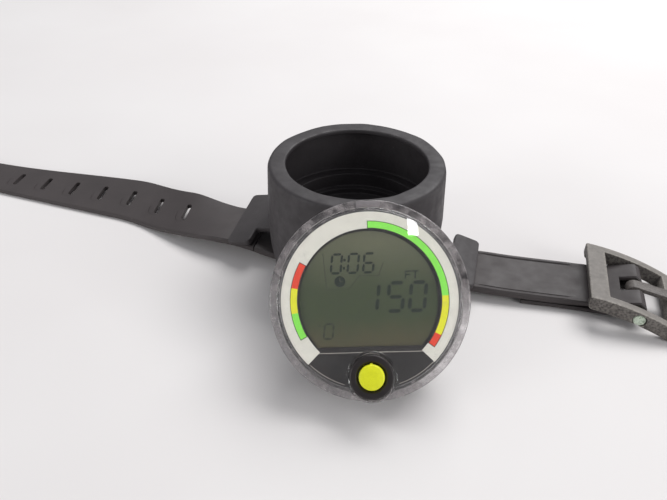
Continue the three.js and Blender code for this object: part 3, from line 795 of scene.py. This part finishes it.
def build_buckle(looks):
    half, end = BUCKLE_W / 2, BUCKLE_LENGTH
    inner = half - RAIL
    side = soften([(0, 0, 0.8), (0, -WALL, 2.2), (end, -WALL, 1), (end, 0, 1)], steps=4)
    body = loft("buckle_frame_piece", [[(s, y, d) for s, d in side] for y in (-half, half)])
    combine(
        body, "DIFFERENCE",
        block("window", (BAR_LENGTH, -inner, -20), (END_BAR_START, inner, 5)),
        block("under_bar", (-3, -inner, -20), (BAR_LENGTH + 0.5, inner, -BAR_T)),
        block("under_end", (END_BAR_START - 0.5, -inner, -20), (end + 3, inner, -END_BAR_T)),
    )
    bevel(body, 0.45, 2)
    slices(body, 0, 1.1)
    slices(body, 1, 1.6)
    move(body, lambda v: arch(v.x, v.y, -v.z))
    holes = []
    for sign in (-1, 1):
        hole = rod("counterbore", 2.9, -0.9, 3, sides=32)
        middle = (PIN_X, BUCKLE_Y + sign * half + buckle_drift(PIN_X), PIN_Z)
        holes.append(turned(hole, "X", 90 if sign < 0 else -90, middle))
    combine(body, "DIFFERENCE", *holes)
    mark_edges(body, 0)
    return settle(body, "buckle_body", looks["buckle"], nodes=["buckle_frame"], slot="buckle_plastic")


def build_pin(looks):
    end = BUCKLE_W / 2 - 0.15
    neck = end - 0.7
    profile = soften([
        (0, -end, 0), (2.45, -end, 0.5), (2.5, -neck, 0.1), (PIN_R, -neck, 0.1),
        (PIN_R, neck, 0.1), (2.5, neck, 0.1), (2.45, end, 0.5), (0, end, 0)], closed=False, steps=4)
    pin = wobble(lathe("buckle_pin_piece", profile, 40), 1.1, 0.16)
    turned(pin, "X", 90, (PIN_X, BUCKLE_Y + buckle_drift(PIN_X), PIN_Z))
    return settle(pin, "buckle_body", looks["pin"], nodes=["buckle_pin"], slot="pin_metal")


def build_tongue(looks):
    half, hole = TONGUE_W / 2, PIN_R + 0.3
    rest = arch(END_BAR_START, 0, 0)
    barrel = lathe("buckle_tongue_piece", soften([
        (hole, -half, 0.2), (hole + TONGUE_T, -half, 0.4), (hole + TONGUE_T, half, 0.4), (hole, half, 0.2)],
        steps=3), 40)
    turned(barrel, "X", 90, (PIN_X, 0, PIN_Z))
    top, under = PIN_Z + hole + TONGUE_T, rest.z + 0.3
    side = soften([
        (PIN_X, top - TONGUE_T, 0), (rest.x + 0.6, under, 0.5), (TONGUE_TIP_X, under - 1.3, 0.3),
        (TONGUE_TIP_X + 0.6, under - 0.4, 0.5), (rest.x, under + TONGUE_T, 2), (PIN_X, top, 1)], steps=3)
    blade = loft("blade", [[(x, y, z) for x, z in side] for y in (-half, half)])
    combine(barrel, "UNION", bevel(blade, 0.35, 2))
    slices(barrel, 0, 0.8)
    move(barrel, lambda v: Vector((v.x, v.y + TONGUE_Y + buckle_drift(v.x), v.z)))
    mark_edges(barrel, 1)
    return settle(barrel, "tongue_body", looks["tongue"], nodes=["buckle_tongue"], slot="buckle_plastic")


# ---- computer -----------------------------------------------------------------------------
def on_computer(piece, body, look, **more):
    return settle(piece, body, look, at=ON_COMPUTER, **more)


def build_housing(looks):
    profile = soften([
        (0, 0, 0), (FACE_R, 0, 0.9), (FACE_R, FLANGE_FRONT + 0.4, 0.4), (FLANGE_R, FLANGE_FRONT, 0.8),
        (FLANGE_R, FLANGE_BACK, 0.3), (INNER_R, FLANGE_BACK, 0.1), (INNER_R, -FACE_T, 0.2), (0, -FACE_T, 0)],
        closed=False, steps=5)
    shell = lathe("front_housing_piece", profile, 168)
    collar = lathe("collar", soften([
        (0, -2.4, 0), (COLLAR_R, -2.4, 0), (COLLAR_R, 2.4, 1.1), (RECESS_R, 2.4, 0.3),
        (RECESS_R, -0.6, 0), (0, -0.6, 0)], closed=False, steps=4), 96)
    shifted(collar, (0, BUTTON_Y, 0))
    combine(shell, "UNION", collar)
    combine(shell, "DIFFERENCE", rod("recess", RECESS_R, -0.6, 4, 0, BUTTON_Y, 96),
            rod("bore", 1.6, -5, 4, 0, BUTTON_Y, 24))
    shell.data.materials.append(looks["window"])
    shell.data.materials.append(looks["rim"])
    for face in shell.data.polygons:
        centre = face.center
        face.material_index = int(centre.xy.length > RIM_R and centre.z < RIM_Z)
    return on_computer(shell, "computer_body", None, nodes=["front_housing"], slot="clear_plastic",
                       sharp=28)


def sector(name, r_in, r_out, start, end, low, high):
    """A flat curved bar, angles in degrees anticlockwise from +X."""
    steps = max(4, int(abs(end - start) / 2))
    return slab(name, arc(r_out, start, end, steps) + arc(r_in, end, start, steps), low, high)


def chord_plan(r, chord, steps=72):
    """A disc's outline with its lower part cut off along a level line."""
    end = math.degrees(math.asin(chord / r))
    return arc(r, end, 180 - end, steps)


BARS = {
    "green": [(89.4, 1.9), (188.6, 208.5)],
    "yellow": [(1.9, -27.6), (169.7, 188.6)],
    "red": [(-27.6, -37.2), (150.2, 169.7)],
}
BAR_SPAN = (25.35, 28.1)  # inner and outer radius of the coloured bars
BAR_OUTLINE = 0.22
RING_ENDS = (-45.2, 225.0)


def build_bars(looks):
    """Coloured bars, each on a slightly larger black one that outlines it."""
    inner, outer = BAR_SPAN
    edge = math.degrees(BAR_OUTLINE / 26)
    low, middle, high = DIAL_Z + 0.02, DIAL_Z + 0.05, DIAL_Z + 0.08
    for colour, spans in BARS.items():
        for i, (start, end) in enumerate(spans):
            turn = edge if end > start else -edge
            name = f"bar_outline_{colour}_{i + 1}"
            outline = sector(name, inner, outer, start - turn, end + turn, low, middle)
            on_computer(outline, "computer_body", looks["black_print"], slot="dial_print")
            name = f"bar_{colour}_{i + 1}"
            bar = sector(name, inner + BAR_OUTLINE, outer - BAR_OUTLINE, start, end, middle, high)
            on_computer(bar, "computer_body", looks[colour], slot="dial_print")


def build_dial(looks):
    back, front = DIAL_Z - 0.6, DIAL_Z - 0.2
    base = lathe("dial_base", soften([
        (0, back, 0), (DIAL_R, back, 0.1), (DIAL_R, front, 0.1), (0, front, 0)], closed=False, steps=2), 144)
    combine(base, "DIFFERENCE", slab("window", chord_plan(WINDOW_R, WINDOW_CHORD), -5, 0),
            rod("pillar", 6.8, -5, 0, 0, BUTTON_Y))
    on_computer(base, "computer_body", looks["black_print"], nodes=["dial_plate"], slot="dial_print")
    ring = sector("dial_ring", WINDOW_R + 0.25, RING_R, *RING_ENDS, PRINT_BACK, DIAL_Z)
    on_computer(bevel(ring, 0.06, 1), "computer_body", looks["silver"], slot="dial_print")
    build_bars(looks)
    line_top = DIAL_Z - 0.1
    line = block("chord_line", (-18.5, -18.45, PRINT_BACK), (18.5, -18.2, line_top))
    on_computer(line, "computer_body", looks["pale_line"], slot="dial_print")
    for i, (start, end) in enumerate([(226, 252), (288, 316)]):
        lower = sector(f"lower_line_{i + 1}", RING_R - 0.5, RING_R - 0.25, start, end, PRINT_BACK, line_top)
        on_computer(lower, "computer_body", looks["pale_line"], slot="dial_print")


# Segments of a digit in a box one wide and two high: top, upper left, upper right, middle,
# lower left, lower right and bottom.
SEGMENTS = {
    "a": ((0, 2), (1, 2)), "f": ((0, 1), (0, 2)), "b": ((1, 1), (1, 2)), "g": ((0, 1), (1, 1)),
    "e": ((0, 0), (0, 1)), "c": ((1, 0), (1, 1)), "d": ((0, 0), (1, 0)),
}
DIGITS = {"0": "abcdef", "1": "bc", "5": "afgcd", "6": "afgedc"}
UPPER_ROW = [("0", -13.4, 9.8), ("0", -7.4, 9.8), ("6", -1.9, 9.8)]  # lower left corners
UPPER_SIZE = (3.5, 6.7, 0.85)  # width, height and thickness of the strokes
LARGE_ROW = [("1", -2.7, -4.1), ("5", 6.2, -4.1), ("0", 14.0, -4.1)]
LARGE_SIZE = (5.2, 9.9, 1.3)
UNIT_STROKES = [((13.0, 7.2), (13.2, 9.9)), ((12.9, 9.8), (15.1, 9.8)), ((13.0, 8.6), (14.7, 8.6)),
                ((15.5, 9.8), (17.7, 9.8)), ((16.4, 7.2), (16.6, 9.9))]
PANEL_LINE = [(-16.0, 16.9), (-14.9, 4.2), (-7.0, 4.0), (-3.3, 8.7), (3.7, 8.6), (5.3, 13.0)]
SLANT = math.tan(math.radians(7))
CLOCK = (-10.2, 6.8)  # middle of the small clock sign


def segment(a, b, thick, gap):
    """A bar with pointed ends from a to b."""
    along = (b - a).normalized()
    across = Vector((-along.y, along.x)) * thick / 2
    a, b = a + along * gap, b - along * gap
    tip = along * thick / 2
    return [a, a + tip + across, b - tip + across, b, b - tip - across, a + tip - across]


def digit(character, x, y, width, height, thick):
    """Outlines of one digit's lit segments; x and y are its lower left corner."""
    shapes = []
    for key in DIGITS[character]:
        ends = [Vector((x + u * width, y + v * height / 2)) for u, v in SEGMENTS[key]]
        outline = segment(ends[0], ends[1], thick, thick * 0.28)
        shapes.append([Vector((p.x + (p.y - y) * SLANT, p.y)) for p in outline])
    return shapes


def inked(name, outlines, look, low=LCD_Z + 0.02, high=LCD_Z + 0.06):
    """Flat inked shapes on the display as one piece."""
    points, faces = [], []
    for outline in outlines:
        count, start = len(outline), len(points)
        points += [(p[0], p[1], low) for p in outline] + [(p[0], p[1], high) for p in outline]
        faces.append([start + k for k in reversed(range(count))])
        faces.append([start + count + k for k in range(count)])
        faces += [[start + k, start + (k + 1) % count, start + count + (k + 1) % count, start + count + k]
                  for k in range(count)]
    return on_computer(make(name, points, faces), "computer_body", look, slot="lcd_glass")


def stroke(a, b, thick):
    """A straight bar from a to b."""
    a, b = Vector(a), Vector(b)
    along = (b - a).normalized()
    across = Vector((-along.y, along.x)) * thick / 2
    return [a + across, b + across, b - across, a - across]


def dashes(a, b, thick, dash=0.9, gap=0.35):
    """A broken line from a to b, with a whole number of dashes."""
    a, b = Vector(a), Vector(b)
    along = (b - a).normalized()
    count = max(1, round(((b - a).length + gap) / (dash + gap)))
    pitch = ((b - a).length + gap) / count
    return [stroke(a + along * pitch * k, a + along * (pitch * k + pitch - gap), thick)
            for k in range(count)]


def build_display(looks):
    lit = []
    for row, size in ((UPPER_ROW, UPPER_SIZE), (LARGE_ROW, LARGE_SIZE)):
        for character, x, y in row:
            lit += digit(character, x, y, *size)
    lit += [slot_outline(-8.6, 11.5, 1.0, 0.85), slot_outline(-8.3, 14.4, 1.0, 0.85)]
    lit += [stroke(a, b, 0.5) for a, b in UNIT_STROKES]
    lit.append(arc(1.95, 0, 350, 35, *CLOCK))
    inked("lcd_segments", lit, looks["segment"])
    x, y = CLOCK
    hands = [stroke(CLOCK, end, 0.22) for end in ((x, y + 1.5), (x + 1.2, y))]
    inked("lcd_clock_hands", hands, looks["lcd"], high=LCD_Z + 0.08)
    frame_lines = []
    for a, b in zip(PANEL_LINE, PANEL_LINE[1:]):
        frame_lines += dashes(a, b, 0.28)
    inked("lcd_frame_lines", frame_lines, looks["faint"])
    faint = digit("0", -16.6, -13.3, 3.2, 5.2, 0.7)
    faint += [stroke((-18.4, -8.6), (-17.6, -8.6), 0.7)]
    inked("lcd_faint_segments", faint, looks["faint"], high=LCD_Z + 0.04)
    # A black rim round the display, partly real rim and partly painted shadow: its hole is shifted left, so
    # the rim is wider on the right where the dial's edge shades the display.
    outer = chord_plan(26.3, -17.0)
    shadow_rim = slab("lcd_rim_painted_shadow", outer, LCD_Z + 0.08, LCD_Z + 0.3)
    hole = slab("hole", [(x - 0.3, y) for x, y in chord_plan(24.5, -16.3)], -6, 0)
    combine(shadow_rim, "DIFFERENCE", hole)
    on_computer(shadow_rim, "computer_body", looks["black"], slot="black_plastic")


def build_button(looks):
    up = ON_COMPUTER @ Matrix.Translation((0, BUTTON_Y, 0))
    bezel = lathe("button_bezel_piece", soften([
        (4.9, -0.3, 0), (BEZEL_R, -0.3, 0.2), (BEZEL_R, 2.9, 0.7), (5.6, 2.9, 0.3), (4.9, 2.3, 0.3)],
        steps=4), 96)
    settle(bezel, "computer_body", looks["black"], at=up, nodes=["button_bezel"], slot="black_plastic")
    cap = lathe("button_cap_piece", soften([
        (0, 0.9, 0), (4.5, 0.9, 0.2), (4.5, 3.75, 0.8), (2.5, 4.0, 2), (0, 4.05, 0)],
        closed=False, steps=5), 72)
    nib_plan = soften([(-0.75, 4.0, 0.2), (0.75, 4.0, 0.2), (0.4, 4.85, 0.3), (-0.4, 4.85, 0.3)], steps=3)
    nib = slab("nib", nib_plan, 1.6, 3.4)
    combine(cap, "UNION", nib)
    settle(cap, "button_body", looks["button"], at=up, nodes=["button_cap"], slot="button_yellow")


def build_tab(looks):
    tab = sector("locating_tab", 33.2, 35.5, 82.0, 96.2, FLANGE_FRONT - 0.1, FLANGE_FRONT + 0.75)
    on_computer(bevel(tab, 0.25, 2), "computer_body", looks["tab"], slot="clear_plastic")


def build_rear(looks):
    lip_r, lip_z = REAR_LIP
    profile = soften([
        (0, -15.6, 0), (15.2, -15.6, 0.4), (15.2, -20.4, 0.4), (30, -20.4, 0.6), (30, -8.3, 0.3),
        (lip_r, -8.3, 0.3), (lip_r, lip_z, 1.0), (REAR_R, -20.8, 0.8), (REAR_R - 1.2, REAR_Z, 0.6),
        (BOSS_R, REAR_Z, 0.6), (BOSS_R - 1, BOSS_Z, 0.8), (14.6, BOSS_Z, 0.3), (14.6, -23.2, 0.1),
        (13.2, -23.2, 0.1), (13.2, -17, 0.2), (0, -17, 0)], closed=False, steps=4)
    case = lathe("rear_case_piece", profile, 144)
    grooves = [turned(rod("groove", 0.7, -20.6, -11.5, REAR_R + 0.35, 0, 12), "Z", 10 * k)
               for k in range(36)]
    port = rod("port", 1, -30, -19, 18, 11, 24)
    combine(case, "DIFFERENCE", *grooves, port)
    on_computer(case, "computer_body", looks["case"], nodes=["rear_case"], slot="case_plastic")
    cap = lathe("battery_cap_piece", soften([
        (0, BOSS_Z, 0), (CAP_R, BOSS_Z, 0.5), (CAP_R, CAP_FRONT, 0.1), (0, CAP_FRONT, 0)],
        closed=False, steps=4), 96)
    slot_plan = soften([(-9, -1, 1), (9, -1, 1), (9, 1, 1), (-9, 1, 1)], steps=4)
    slot_cut = slab("coin_slot", slot_plan, -27, -25.1)
    grips = [turned(rod("grip", 0.8, -27, -25.3, 12.3, 0, 16), "Z", 30 * k + 15) for k in range(12)]
    combine(cap, "DIFFERENCE", slot_cut, *grips)
    on_computer(cap, "battery_cap_body", looks["black"], nodes=["battery_cap"], slot="black_plastic")


# ---- CAD nodes shown as they are ----------------------------------------------------------
NODE_LOOKS = {
    "lcd_panel": "lcd", "lcd_holder": "black", "zebra_strip_upper": "contact", "zebra_strip_lower": "contact",
    "circuit_board": "board", "processor_chip": "black", "depth_sensor": "steel", "piezo_sounder": "brass",
    "push_switch": "black", "case_oring": "seal", "battery_contact_front": "steel",
    "battery_contact_side": "steel", "battery_cell": "steel", "battery_cap_oring": "seal",
    "board_screw_1": "steel", "board_screw_2": "steel", "board_screw_3": "steel", "button_stem": "steel",
    "button_spring": "steel", "button_oring": "seal", "button_clip": "steel",
}


def dress_nodes(looks):
    for name, look in NODE_LOOKS.items():
        for place in frame["nodes"][name].material_slots:
            place.material = looks[look]


# ---- scene --------------------------------------------------------------------------------
CAMERA_AT = (0.050291, -0.259991, 0.195520)  # metres
CAMERA_PITCH = 35.645  # degrees, as are heading and roll
CAMERA_HEADING = 13.0
CAMERA_ROLL = 0.796
LENS, SENSOR = 37.78, 36.0
FLOOR_HALF = 3.0
SKY, SKY_STRENGTH = (0.93, 0.95, 1.0, 1), 0.32
GLINT_AT = FACE_CENTRE + FACING * 0.9 + Vector((0.1, 0.1, 0.19))  # seen back in the clear window


def aim(obj, target):
    obj.rotation_euler = (Vector(target) - obj.location).to_track_quat("-Z", "Y").to_euler()


def build_camera():
    camera = bpy.data.objects.new("camera", bpy.data.cameras.new("camera"))
    bpy.context.scene.collection.objects.link(camera)
    turn = (Matrix.Rotation(math.radians(CAMERA_HEADING), 4, "Z")
            @ Matrix.Rotation(math.radians(90 - CAMERA_PITCH), 4, "X")
            @ Matrix.Rotation(math.radians(CAMERA_ROLL), 4, "Z"))
    camera.matrix_world = Matrix.Translation(CAMERA_AT) @ turn
    camera.data.lens = LENS
    camera.data.sensor_width = SENSOR
    camera.data.clip_start = 0.01
    bpy.context.scene.camera = camera


def lamp(name, place, target, size, power):
    """A soft white panel lamp, in metres and watts."""
    light = bpy.data.lights.new(name, "AREA")
    light.shape = "RECTANGLE"
    light.size, light.size_y = size
    light.energy = power
    obj = bpy.data.objects.new(name, light)
    bpy.context.scene.collection.objects.link(obj)
    obj.location = place
    aim(obj, target)


def build_stage():
    half = FLOOR_HALF
    corners = [(-half, -half, 0), (half, -half, 0), (half, half, 0), (-half, half, 0)]
    floor = make("floor", corners, [(0, 1, 2, 3)])
    look = Look("floor_paper")
    tone = look.mix(look.spread(look.noise(160, 3), 0.3, 0.7), srgb(226, 222, 221), srgb(231, 228, 227))
    floor.data.materials.append(look.finish(look.principled(tone, 0.8, look.bump(look.noise(3, 3), 0.02))))
    world = bpy.data.worlds.new("studio")
    world.use_nodes = True
    sky = world.node_tree.nodes["Background"]
    sky.inputs["Color"].default_value = SKY
    sky.inputs["Strength"].default_value = SKY_STRENGTH
    bpy.context.scene.world = world
    lamp("key", (0.3, 0.75, 1.15), (0, 0.1, 0), (1.2, 0.8), 18.0)
    lamp("fill_right", (1.1, -0.55, 0.45), (0, -0.05, 0), (0.5, 0.5), 5.0)
    lamp("fill_left", (-0.9, -0.75, 0.35), (0, -0.05, 0), (0.5, 0.5), 4.0)
    lamp("glint", GLINT_AT, FACE_CENTRE, (0.026, 0.05), 0.09)
    bpy.context.scene.view_settings.view_transform = "Standard"


def main():
    build_camera()
    build_stage()
    looks = make_looks()
    build_cup(looks)
    build_keepers(looks)
    build_tail(looks)
    build_middle(looks)
    build_buckle_end(looks)
    build_buckle(looks)
    build_pin(looks)
    build_tongue(looks)
    build_housing(looks)
    build_dial(looks)
    build_display(looks)
    build_button(looks)
    build_tab(looks)
    build_rear(looks)
    dress_nodes(looks)


main()
